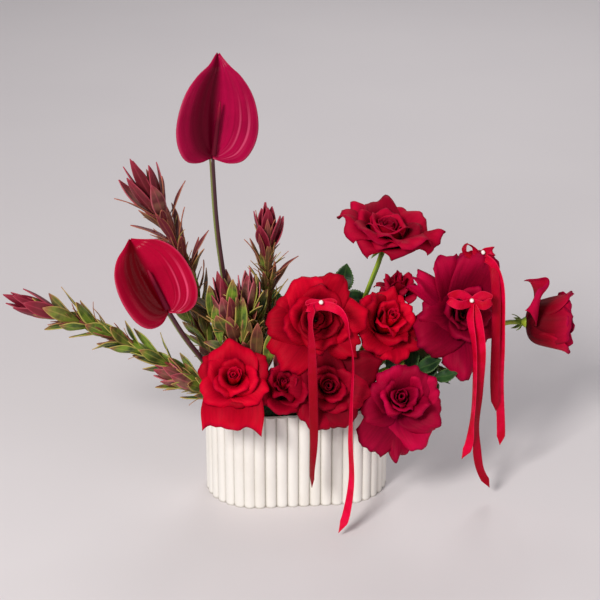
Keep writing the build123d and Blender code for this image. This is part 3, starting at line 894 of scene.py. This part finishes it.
def make_anthurium(name, entry, elbow, joint, long_axis, facing):
    body = f"{name}_anthurium"
    joint, facing, up = np.asarray(joint, float), np.asarray(facing, float), unit(long_axis)
    out = unit(facing - up * (facing @ up))
    axes = np.array([np.cross(up, out), up, out])

    line = stem_line(entry, elbow, joint)
    stem = Mesh()
    stem.tube(line, np.linspace(*ANTHURIUM_STEM_RADII, len(line)), 18)
    skin = stem_material(
        f"anthurium_{name}_skin", (132, 146, 74), (62, 24, 34), (88, 46, 44)
    )
    stalk = stem.make(f"anthurium_{name}_stalk", skin)
    place(stalk, body, "anthurium_stem", f"anthurium_{name}_stem")

    grid, v, u = spathe_grid(name)
    spathe = Mesh()
    spathe.sheet(grid @ axes + joint, 1.6 - 0.7 * v, v, u, 0.5)
    wax = spathe_material(f"spathe_{name}", *SPATHE_COLOURS[name])
    heart = spathe.make(f"anthurium_{name}_heart", wax)
    place(heart, body, "spathe", f"anthurium_{name}_spathe")

    length = SPATHES[name][0]
    rise = np.linspace(0, 1, 70)[:, None]
    spine = joint + up * (4 + rise * length * SPADIX_SHARE) + out * (6.6 + rise * length * 0.06)
    rise = rise[:, 0]
    thick = SPADIX_RADIUS * (1 - 0.40 * rise) * np.sqrt(np.clip(1 - rise**10, 0.02, 1))
    spadix = Mesh()
    spadix.tube(spine, thick, 28, bumps=spadix_bumps)
    flesh = spadix_material(f"spadix_{name}", (96, 4, 30), (158, 16, 52))
    finger = spadix.make(f"anthurium_{name}_finger", flesh)
    place(finger, body, "spadix", f"anthurium_{name}_spadix")


def spadix_bumps(along, angle):
    return 0.16 * np.cos(angle * 14 + along * 150) * np.cos(along * 210)


# --- leucadendrons
# Foam entry, elbow, tip, how many leaves, leaf length and width, head length,
# how red the leaves and the head are, and how steeply the outer bracts stand.
SHOOTS = {
    "upper_left": ((-88, 8), (-126, 20, 285), (-184, 20, 412), 46, 62, 10, 78, 0.70, 0.70, 46),
    "far_left": ((-84, -10), (-225, -4, 214), (-331, 0, 258), 34, 52, 14, 66, 0.16, 1.2, 62),
    "upper_middle": ((-33, 24), (-31, 30, 265), (-31, 30, 351), 40, 54, 8, 58, 0.60, 1.3, 50),
    "centre_left": ((-48, -8), (-76, -20, 215), (-91, -14, 283), 24, 66, 20, 66, 0.50, 0.6, 58),
    "centre_right": ((-44, 4), (-55, 0, 215), (-56, -4, 283), 26, 64, 20, 62, 0.10, 0.15, 58),
    "lower_left": ((-64, -36), (-112, -36, 150), (-166, -34, 177), 20, 48, 12, 50, 0.4, 0.4, 58),
    "rear_left": ((-72, 28), (-108, 62, 182), (-128, 84, 232), 26, 52, 13, 56, 0.4, 0.8, 58),
    "rear_right": ((28, 34), (42, 64, 172), (54, 84, 218), 24, 52, 13, 56, 0.3, 0.8, 58),
}
# Single leaves low on the two middle shoots: where each starts and ends, its
# width and how red it is.
LOW_LEAVES = (
    ((-77, -24, 226), (-74, -26, 281), 13, -0.4),
    ((-66, -28, 200), (-64, -32, 256), 14, -0.4),
    ((-97, -24, 222), (-101, -26, 274), 12, 0.2),
    ((-88, -26, 196), (-95, -30, 252), 14, 0.1),
    ((-50, -34, 172), (-47, -38, 232), 15, 0.7),
    ((-38, -38, 172), (-30, -42, 222), 15, 0.4),
    ((-28, -40, 168), (-17, -44, 204), 15, 0.9),
    ((-58, -30, 184), (-60, -32, 238), 14, 0.6),
    ((-40, -30, 160), (-36, -34, 205), 18, 0.8),
    ((-54, -28, 160), (-56, -30, 206), 18, 0.3),
)
BODY_OF_SHOOT = {name: f"{name}_shoot" for name in ("upper_left", "far_left", "upper_middle")}

OLIVE = leaf_material(
    "leucadendron_leaf",
    (116, 142, 44),
    (56, 76, 28),
    (190, 176, 88),
    (172, 62, 74),
    (106, 32, 44),
)
BRACT = leaf_material(
    "leucadendron_bract",
    (134, 92, 76),
    (92, 44, 46),
    (206, 104, 116),
    (156, 26, 56),
    (106, 12, 34),
)
TWIG = stem_material("leucadendron_twig", (150, 110, 70), (120, 52, 48), (150, 70, 56))


def make_shoot(
    name, entry, elbow, tip, leaves, leaf_length, leaf_width, head_length, redness, head_red, outer
):
    body = BODY_OF_SHOOT.get(name, "insert")
    rng = np.random.default_rng(sum(map(ord, name)) + 3)
    tip, elbow = np.asarray(tip, float), np.asarray(elbow, float)
    head = unit(tip - elbow)
    neck = tip - head * head_length
    line = stem_line(entry, elbow, neck, count=TWIG_POINTS)
    last = TWIG_POINTS - 2
    stem = Mesh()
    stem.tube(line[::2], np.linspace(*TWIG_RADII, TWIG_POINTS // 2), 12)
    twig = stem.make(f"leucadendron_{name}_twig", TWIG)
    place(twig, body, "leucadendron", f"leucadendron_{name}")

    foliage = Mesh()
    bare = (PUSHED_IN + 24) / run_length(line)[-1]
    for i in range(leaves):
        at = mix(bare, 0.985, (i / (leaves - 1)) ** 0.9)
        k = min(int(at * (TWIG_POINTS - 1)), last)
        size = leaf_length * rng.uniform(0.78, 1.1) * mix(0.9, 1.0, at)
        width = leaf_width * rng.uniform(0.75, 1.15)
        grid, v, u = blade_grid(size, width, rng.uniform(-0.4, 0.5), 0.12, belly=0.56, wave=0.6)
        tilt = math.radians(rng.uniform(52, 80))
        leaf = on_stem(grid, line[k], line[k + 1] - line[k], i * GOLDEN_ANGLE, tilt)
        tone = np.clip(redness * mix(0.5, 1.3, at) + rng.uniform(-0.3, 0.3), 0, 1)
        foliage.sheet(leaf, 0.9, v, u, tone)
    for _ in range(leaves):  # the needles between them
        k = int(mix(0.55, 0.99, rng.uniform(0, 1)) * last)
        grid, v, u = blade_grid(rng.uniform(24, 38), 2.6, rng.uniform(-0.5, 0.5), 0.1, belly=0.5)
        tilt = math.radians(rng.uniform(45, 68))
        leaf = on_stem(grid, line[k], line[k + 1] - line[k], rng.uniform(0, 6.28), tilt)
        foliage.sheet(leaf, 0.7, v, u, rng.uniform(0.3, 1.0))
    place(foliage.make(f"leucadendron_{name}_leaves", OLIVE), body, "leucadendron")

    bracts = Mesh()
    for i in range(BRACTS):
        age = i / (BRACTS - 1)
        size = head_length * mix(1.0, 0.86, age) * rng.uniform(0.94, 1.04)
        width = mix(14.0, 17.0, age)
        grid, v, u = blade_grid(size, width, mix(0.15, 0.45, age), 0.22, 17, 9, belly=0.54)
        tilt = math.radians(mix(84, outer, age) + rng.uniform(-5, 5))
        start = neck - head * mix(1, 10, age)
        bract = on_stem(grid, start, head, i * GOLDEN_ANGLE, tilt)
        tone = np.clip(head_red * mix(1.1, 0.8, age) + rng.uniform(-0.15, 0.15), 0, 1)
        bracts.sheet(bract, 1.1, v, u, tone)
    place(bracts.make(f"leucadendron_{name}_head", BRACT), body, "leucadendron")


def make_spray(name, seed, places, bend, sway, face, thickness, material, slot, **shape):
    """Single leaves, each from where it starts to where it ends: start, end, width and tone."""
    rng = np.random.default_rng(seed)
    leaves = Mesh()
    for start, end, width, tone in places:
        start, run = np.array(start, float), np.subtract(end, start)
        grid, v, u = blade_grid(np.linalg.norm(run), width, rng.uniform(-0.3, bend), **shape)
        x = unit(run)
        y = unit(np.cross((rng.uniform(-sway, sway), *face), x))
        leaves.sheet(grid @ np.array([x, y, np.cross(x, y)]) + start, thickness, v, u, tone)
    place(leaves.make(name, material), "insert", slot)


def make_low_leaves():
    look = (-1, 0.2), 0.9, OLIVE, "leucadendron"
    make_spray("leucadendron_low_leaves", 23, LOW_LEAVES, 0.3, 0.4, *look, fold=0.12, belly=0.56)


# --- rose leaves
# Foam entry, where the leaflets join the stalk, and their length.
LEAVES = {
    "tall": ((30, 6), (56, 44, 225), 38),
    "right": ((84, -8), (138, -28, 158), 34),
    "rear_middle": ((0, 36), (-14, 74, 176), 46),
    "rear_far": ((54, 41), (96, 72, 178), 44),
    "front": ((88, -16), (158, -40, 152), 28),
}
ROSE_LEAF = leaf_material(
    "rose_leaf",
    (44, 80, 36),
    (18, 44, 20),
    (84, 112, 58),
    (56, 80, 36),
    (104, 110, 58),
)
TOOTHED = {"fold": 0.14, "rows": 57, "cols": 9, "teeth": 14, "wave": 0.8}


def make_rose_leaf(name, entry, joint, size):
    """A stalk with three toothed leaflets."""
    start, joint = foam_point(entry), np.asarray(joint, float)
    direction = unit(joint - start)
    line = np.linspace(start - direction * LEAF_PUSHED_IN, joint, 24)
    stem = Mesh()
    stem.tube(line, LEAF_STALK_RADIUS, 10)
    stalk = stem.make(f"rose_leaf_{name}_stalk", ROSE_STEM)
    place(stalk, "insert", "rose_leaf", f"rose_leaf_{name}")
    across = np.cross(direction, (0, -0.6, 0.8))
    normal = unit(np.cross(across, direction))
    rng = np.random.default_rng(len(name) + 17)
    leaflets = Mesh()
    for turn, back in LEAFLETS:
        bend = rng.uniform(0.1, 0.5)
        grid, v, u = blade_grid(size, size * LEAFLET_SHARE, bend, belly=0.44, **TOOTHED)
        angle = math.radians(turn)
        x = direction * math.cos(angle) + np.cross(normal, direction) * math.sin(angle)
        leaf = grid @ np.array([x, np.cross(normal, x), normal]) + joint - direction * back
        leaflets.sheet(leaf, 0.6, v, u, rng.uniform(0, 0.3))
    place(leaflets.make(f"rose_leaf_{name}_leaflets", ROSE_LEAF), "insert", "rose_leaf")


# Leaves on the wide rose's stem: where each starts and ends, its width and how
# olive it is.
STEM_LEAVES = (
    ((132, 11, 164), (170, -8, 176), 26, 0.9),
    ((122, 8, 158), (102, -16, 154), 20, 0.0),
    ((130, 6, 160), (156, -24, 150), 20, 0.1),
    ((138, 14, 168), (166, -10, 158), 20, 0.7),
    ((112, 8, 152), (104, -10, 170), 18, 0.0),
    ((136, 4, 158), (190, -28, 143), 9, 1.0),
    ((134, 2, 154), (178, -30, 137), 8, 0.6),
)


def make_stem_leaves():
    look = (-0.8, 0.6), 0.6, ROSE_LEAF, "rose_leaf"
    make_spray("rose_wide_stem_leaves", 31, STEM_LEAVES, 0.4, 0.5, *look, belly=0.46, **TOOTHED)


# --- ribbons
SATIN = satin_material()
# Each ribbon is one strip: a row is a point, x y z, and the direction across the
# strip there, from the end of one tail, through both loops, to the other end.
RIBBONS = {
    "front": (
        (9, -98, 48, 0.5, -0.9, 0), (9, -98, 71, 0.5, -0.9, 0), (11, -100, 111, 0.8, -0.5, 0),
        (10, -104, 164, 1, 0, 0), (8, -102, 226, 0.8, -0.6, 0), (7, -94, 252, 0.4, -0.8, 0.3),
        (10, -85, 264, 0.7, 0.2, 0.7), (20, -80, 269, 0, 0.3, 0.9), (32, -81, 271, 0, 0.4, 0.9),
        (36, -85, 268, 0, 0.2, 1), (21, -80, 269, 0, 0.3, 0.9), (9, -81, 271, 0, 0.4, 0.9),
        (5, -85, 268, 0, 0.2, 1), (20, -81, 268, 0, 0.3, 0.9), (34, -86, 267, 0, 0.3, 0.9),
        (45, -92, 259, 0.4, -0.6, 0.5), (50, -100, 238, 0.1, -1, 0.1),
        (54, -106, 210, 0.1, -1, 0.1), (53, -106, 163, 0.2, -1, 0), (52, -108, 113, 0.4, -0.9, 0),
        (53, -114, 65, 0.5, -0.8, 0.1), (46, -124, 25, 0.8, -0.5, 0.3),
        (37, -130, 6, 0.9, -0.2, 0.5),
    ),
    "right": (
        (188, -62, 56, 1, 0, 0.3), (195, -64, 76, 0.8, -0.5, 0), (197, -66, 109, 0.3, -1, 0),
        (198, -66, 148, 0.3, -1, 0), (196, -66, 199, 0.4, -1, 0), (191, -60, 234, 0.8, -0.7, 0.5),
        (193, -49, 251, 0.2, 0.2, 1), (180, -51, 262, 0.2, 0.4, 0.9), (167, -55, 259, 0.1, 0.2, 1),
        (177, -60, 253, 0.2, 0.4, 0.9), (193, -50, 251, 0, 0.2, 1), (205, -52, 260, -0.2, 0.4, 0.9),
        (215, -56, 256, -0.1, 0.2, 1), (206, -60, 251, -0.2, 0.4, 0.9),
        (195, -51, 250, 0.1, 0.2, 1), (200, -60, 236, 0.9, -0.5, 0.2), (205, -64, 197, 1, -0.3, 0),
        (204, -64, 146, 1, 0.1, 0), (203, -63, 94, 0.7, 0.6, 0), (209, -61, 46, 0.8, -0.4, 0.2),
        (223, -58, 14, 1, 0, 0.5),
    ),
    "top": (
        (230, -40, 106, 1, 0, 0), (226, -42, 147, 0.9, -0.3, 0), (225, -42, 211, 1, -0.2, 0),
        (223, -40, 261, 1, -0.2, 0), (219, -31, 287, 0.7, -0.5, 0.3), (209, -21, 296, 0, 0.2, 1),
        (197, -22, 297, 0.1, 0.1, 1), (188, -25, 304, 0.3, -0.9, 0.4),
        (191, -28, 313, 0.1, -0.9, 0.4), (199, -28, 308, 0.1, -0.9, 0.5),
        (203, -25, 300, 0.1, -0.4, 0.9), (210, -22, 296, 0, 0.2, 1),
        (220, -24, 300, -0.3, 0.0, 0.9), (217, -28, 305, 0, -0.5, 0.9), (210, -23, 296, 0, 0.2, 1),
        (221, -33, 288, 0.6, -0.5, 0.5), (229, -38, 262, 0.8, -0.6, 0),
        (232, -38, 209, 0.8, -0.6, 0), (233, -38, 145, 1, 0.2, 0), (238, -36, 78, 1, 0, 0),
        (238, -34, 57, 1, 0, 0),
    ),
}
# Painted shade along each strip, where it turns away from the light: shares of its length, then 0
# bright to 1 dark.
RIBBON_SHADE = {
    "front": ((0.0, 0.33, 0.45, 1.0), (1.0, 0.65, 0.1, 0.0)),
    "right": ((0.0, 0.36, 0.5, 0.66, 0.76, 1.0), (0.0, 0.1, 0.35, 0.0, 0.8, 0.7)),
    "top": ((0.0, 0.38, 0.5, 0.6, 1.0), (0.75, 0.6, 0.5, 0.05, 0.15)),
}


def make_ribbon(name, rows):
    """A strip of one width, dished a little across and drawn to a point at its two ends."""
    points = np.array([(*row[:3], *unit(row[3:])) for row in rows])
    length = run_length(points)[-1]
    line = curve_through(points, int(length / RIBBON_STEP))
    centre, across = line[:, :3], line[:, 3:]
    tangent = np.gradient(centre, axis=0)
    tangent /= np.linalg.norm(tangent, axis=1, keepdims=True)
    across = across - tangent * (across * tangent).sum(axis=1, keepdims=True)
    across /= np.linalg.norm(across, axis=1, keepdims=True)
    real = run_length(centre)[-1]
    at = np.linspace(0, real, len(centre))
    half = RIBBON_WIDTH / 2 * np.clip(np.minimum(at, real - at) / RIBBON_TAPER, 0.04, 1)
    u = np.linspace(-1, 1, 7)
    dish = RIBBON_DISH * (u**2)[None, :, None] * np.cross(tangent, across)[:, None, :]
    grid = centre[:, None, :] + across[:, None, :] * (half[:, None] * u)[..., None] + dish
    shade = np.repeat(np.interp(at / real, *RIBBON_SHADE[name]), len(u))
    strip = Mesh()
    strip.sheet(grid, RIBBON_THICKNESS, (at * MM)[:, None], u[None, :], np.tile(shade, 2))
    piece = strip.make(f"ribbon_{name}_satin", SATIN)
    place(piece, "insert", "ribbon", f"ribbon_{name}")
    print(f"ribbon {name}: {real:.0f} mm")


# --- vessel, pins, floor and studio
def shade_shaft(pin):
    """Gives a pin's second material to every face that lies behind its pearl."""
    points = np.array([v.co for v in pin.vertices])
    middle = points.mean(axis=0)
    tip = points[np.argmax(np.linalg.norm(points - middle, axis=1))]
    inward = unit(tip - middle)
    behind = (points @ inward).min() + 2 * PEARL_RADIUS * MM
    for face in pin.polygons:
        face.material_index = int(np.array(face.center) @ inward > behind)


def set_materials(mesh, *materials):
    mesh.materials.clear()
    for material in materials:
        mesh.materials.append(material)


def dress_cad_nodes():
    finishes = {
        "fluted_vessel": ceramic_material(),
        "liner": liner_material(),
        "foam_block": foam_material(),
    }
    for name, finish in finishes.items():
        set_materials(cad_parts[name].data, finish)
    pearl, steel = pearl_material(), steel_material()
    for name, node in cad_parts.items():
        if name.startswith("pearl_pin"):
            set_materials(node.data, pearl, steel)
            shade_shaft(node.data)


def add_floor():
    mesh = bpy.data.meshes.new("floor")
    corners = ((-1, -1), (1, -1), (1, 1), (-1, 1))
    mesh.from_pydata([(FLOOR_REACH * x, FLOOR_REACH * y, 0) for x, y in corners], [], [range(4)])
    floor = bpy.data.objects.new("floor", mesh)
    mesh.materials.append(floor_material())
    bpy.context.scene.collection.objects.link(floor)


def add_area_light(name, position, size, power, colour):
    light = bpy.data.lights.new(name, "AREA")
    light.shape = "DISK"
    light.size = size
    light.energy = power
    light.color = colour
    lamp = bpy.data.objects.new(name, light)
    lamp.location = position
    beam = Vector(LIT_POINT) - Vector(position)
    lamp.rotation_euler = beam.to_track_quat("-Z", "Y").to_euler()
    bpy.context.scene.collection.objects.link(lamp)


def add_lights():
    world = bpy.data.worlds.new("studio")
    world.use_nodes = True
    background = world.node_tree.nodes["Background"]
    background.inputs["Color"].default_value = (0.93, 0.92, 0.95, 1)
    background.inputs["Strength"].default_value = 0.34
    bpy.context.scene.world = world
    add_area_light("key", (-1.3, -2.0, 1.9), 0.8, 74, (1.0, 0.98, 0.95))
    add_area_light("fill", (2.0, -1.8, 1.1), 1.6, 14, (0.97, 0.97, 1.0))
    add_area_light("rim", (0.6, 2.0, 1.9), 1.2, 16, (1.0, 1.0, 1.0))


def set_colour_view():
    """Plain screen colours, so that materials show as they are given."""
    bpy.context.scene.view_settings.view_transform = "Standard"


def add_camera():
    """The camera looks down on the vessel from the front, a little from the left."""
    azimuth, elevation = math.radians(CAMERA_AZIMUTH), math.radians(CAMERA_ELEVATION)
    level = math.cos(elevation)
    back = Vector((math.sin(azimuth) * level, -math.cos(azimuth) * level, math.sin(elevation)))
    right = Vector((math.cos(azimuth), math.sin(azimuth), 0))
    up = back.cross(right)
    target = right * CAMERA_AIM[0] + up * CAMERA_AIM[1]
    camera = bpy.data.objects.new("camera", bpy.data.cameras.new("camera"))
    camera.data.sensor_width = SENSOR_WIDTH
    camera.data.lens = LENS
    turn = Matrix((right, up, back)).transposed().to_4x4()
    camera.matrix_world = Matrix.Translation(target + back * CAMERA_DISTANCE) @ turn
    bpy.context.scene.collection.objects.link(camera)
    bpy.context.scene.camera = camera


add_camera()
set_colour_view()
add_lights()
add_floor()
dress_cad_nodes()
for rose, place_of_rose in ROSES.items():
    make_rose(rose, *place_of_rose)
for anthurium, shape in ANTHURIUMS.items():
    make_anthurium(anthurium, *shape)
for shoot, shape in SHOOTS.items():
    make_shoot(shoot, *shape)
make_low_leaves()
for leaf, shape in LEAVES.items():
    make_rose_leaf(leaf, *shape)
make_stem_leaves()
for ribbon, rows in RIBBONS.items():
    make_ribbon(ribbon, rows)
